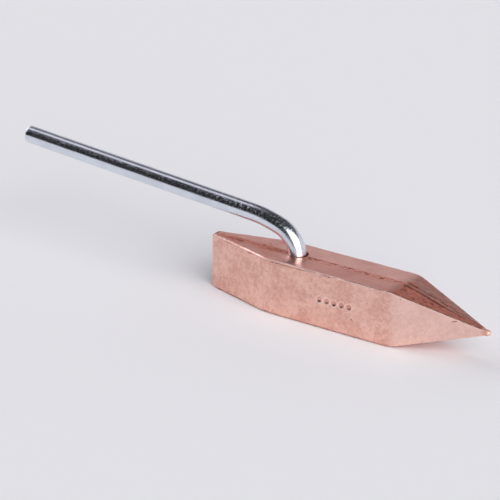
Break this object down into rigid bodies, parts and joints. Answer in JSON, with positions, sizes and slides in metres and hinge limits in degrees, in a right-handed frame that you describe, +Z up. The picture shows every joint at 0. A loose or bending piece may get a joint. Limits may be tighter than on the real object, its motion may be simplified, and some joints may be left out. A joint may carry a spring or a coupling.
{
  "type": "soldering bit",
  "caption": "Hammer-form soldering copper: solid copper head with a pyramid point and wedge back, riveted to a bent round steel rod; heated in a flame.",
  "frame": {"origin": "on the underside, at the bottom centre of the whole tool's bounding box: midway between the soldering tip and the rod's free end, on the middle plane", "axes": "+X along the head towards the soldering tip, +Y across the head, +Z up, out of the face that the rod enters"},
  "size_m": [0.2149, 0.021, 0.0461],
  "materials": {
    "copper": "forged copper, satin, slightly mottled",
    "plated_steel": "bright zinc plate, smooth with fine scratches"
  },
  "bodies": {
    "root": {"copper_head": "copper", "steel_rod": "plated_steel"}
  },
  "joints": []
}
